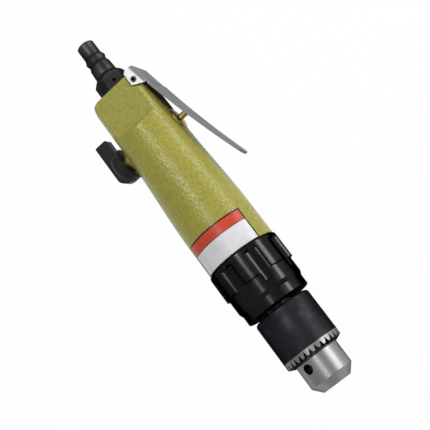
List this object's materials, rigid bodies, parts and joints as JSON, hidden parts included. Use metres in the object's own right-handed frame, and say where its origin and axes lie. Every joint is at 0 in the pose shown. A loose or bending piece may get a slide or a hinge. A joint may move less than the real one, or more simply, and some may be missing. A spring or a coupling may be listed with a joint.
{
  "type": "air drill",
  "caption": "Straight pneumatic drill with a throttle lever, a reverse knob, a planetary gear head, a keyed jaw chuck and a quick-connect inlet plug.",
  "frame": {"origin": "on the spindle axis, at the mouth of the chuck", "axes": "+X along the spindle axis out of the chuck, +Y towards the throttle lever, +Z towards the side that carries the label place"},
  "size_m": [0.25, 0.0724, 0.0458],
  "materials": {
    "handle_paint": "olive hammered enamel, semi-gloss",
    "collar_black": "gloss black enamel",
    "chuck_black": "blackened steel, satin",
    "chuck_steel": "turned steel, satin",
    "lever_steel": "plated sheet steel, polished",
    "plug_black": "black plated steel, semi-gloss",
    "pin_steel": "dark spring steel",
    "brass": "machined brass",
    "knob_plastic": "moulded black plastic, semi-gloss",
    "seal_rubber": "moulded nitrile rubber, matt",
    "inner_steel": "ground steel",
    "motor_iron": "honed iron",
    "vane_laminate": "fabric laminate, matt"
  },
  "bodies": {
    "handle": {"handle_housing": "handle_paint", "gear_housing": "collar_black", "ring_gear": "inner_steel", "spindle_seal": "seal_rubber", "spindle_outer_races": "inner_steel", "spindle_balls": "inner_steel", "bearing_spacer": "inner_steel", "motor_front_plate": "motor_iron", "motor_rear_plate": "motor_iron", "motor_cylinder": "motor_iron", "cylinder_dowels": "inner_steel", "rotor_outer_races": "inner_steel", "rotor_balls": "inner_steel", "valve_bush": "brass", "bush_seal": "seal_rubber", "valve_spring": "inner_steel", "reverse_bush": "brass", "inlet_plug": "plug_black", "inlet_seal": "seal_rubber", "inlet_screen": "inner_steel", "lever_pin": "pin_steel"},
    "lever": {"throttle_lever": "lever_steel"},
    "valve": {"valve_stem": "brass", "stem_seal": "seal_rubber"},
    "reverse": {"reverse_spool": "brass", "reverse_knob": "knob_plastic", "knob_screw": "pin_steel"},
    "spindle": {"spindle": "inner_steel", "planet_pins": "inner_steel", "spindle_inner_races": "inner_steel", "chuck_body": "chuck_steel", "chuck_screw": "pin_steel"},
    "sleeve": {"chuck_sleeve": "chuck_black", "chuck_nut": "chuck_steel"},
    "jaw_1": {"jaw_1": "chuck_steel"},
    "jaw_2": {"jaw_2": "chuck_steel"},
    "jaw_3": {"jaw_3": "chuck_steel"},
    "rotor": {"rotor": "inner_steel", "vanes": "vane_laminate", "rotor_inner_races": "inner_steel"},
    "planet_1": {"planet_gear_1": "inner_steel"},
    "planet_2": {"planet_gear_2": "inner_steel"},
    "planet_3": {"planet_gear_3": "inner_steel"}
  },
  "joints": [
    {"name": "lever_hinge", "type": "hinge", "parent": "handle", "child": "lever", "pos_m": [-0.2076, 0.0149, 0], "axis": [0, 0, -1], "range_deg": [0, 6], "stiffness_Nm_per_rad": 2, "springref_deg": -11.46},
    {"name": "valve_slide", "type": "slide", "parent": "handle", "child": "valve", "axis": [0, -1, 0], "range_m": [0, 0.0036], "deforming": ["valve_spring"]},
    {"name": "reverse_turn", "type": "hinge", "parent": "handle", "child": "reverse", "pos_m": [-0.175, -0.02, 0], "axis": [0, 1, 0], "range_deg": [-45, 45]},
    {"name": "spindle_turn", "type": "hinge", "parent": "handle", "child": "spindle", "pos_m": [-0.06, 0, 0], "axis": [1, 0, 0], "continuous": true},
    {"name": "rotor_turn", "type": "hinge", "parent": "handle", "child": "rotor", "pos_m": [-0.112, 0, 0], "axis": [1, 0, 0], "continuous": true},
    {"name": "sleeve_turn", "type": "hinge", "parent": "spindle", "child": "sleeve", "pos_m": [-0.035, 0, 0], "axis": [1, 0, 0], "range_deg": [0, 3600]},
    {"name": "jaw_1_slide", "type": "slide", "parent": "spindle", "child": "jaw_1", "axis": [0.9703, -0.1489, -0.1906], "range_m": [0, 0.0145]},
    {"name": "jaw_2_slide", "type": "slide", "parent": "spindle", "child": "jaw_2", "axis": [0.9703, -0.0906, 0.2243], "range_m": [0, 0.0145]},
    {"name": "jaw_3_slide", "type": "slide", "parent": "spindle", "child": "jaw_3", "axis": [0.9703, 0.2396, -0.0337], "range_m": [0, 0.0145]},
    {"name": "planet_1_turn", "type": "hinge", "parent": "spindle", "child": "planet_1", "pos_m": [-0.0786, 0, -0.0081], "axis": [1, 0, 0], "continuous": true},
    {"name": "planet_2_turn", "type": "hinge", "parent": "spindle", "child": "planet_2", "pos_m": [-0.0786, 0.00701, 0.00405], "axis": [1, 0, 0], "continuous": true},
    {"name": "planet_3_turn", "type": "hinge", "parent": "spindle", "child": "planet_3", "pos_m": [-0.0786, -0.00701, 0.00405], "axis": [1, 0, 0], "continuous": true}
  ],
  "couplings": [
    {"joint": "valve_slide", "follows": "lever_hinge", "m_per_rad": 0.033},
    {"joint": "rotor_turn", "follows": "spindle_turn", "ratio": 4.5},
    {"joint": "planet_1_turn", "follows": "spindle_turn", "ratio": -2.8},
    {"joint": "planet_2_turn", "follows": "spindle_turn", "ratio": -2.8},
    {"joint": "planet_3_turn", "follows": "spindle_turn", "ratio": -2.8},
    {"joint": "jaw_1_slide", "follows": "sleeve_turn", "m_per_rad": 0.00023026},
    {"joint": "jaw_2_slide", "follows": "sleeve_turn", "m_per_rad": 0.00023026},
    {"joint": "jaw_3_slide", "follows": "sleeve_turn", "m_per_rad": 0.00023026}
  ]
}
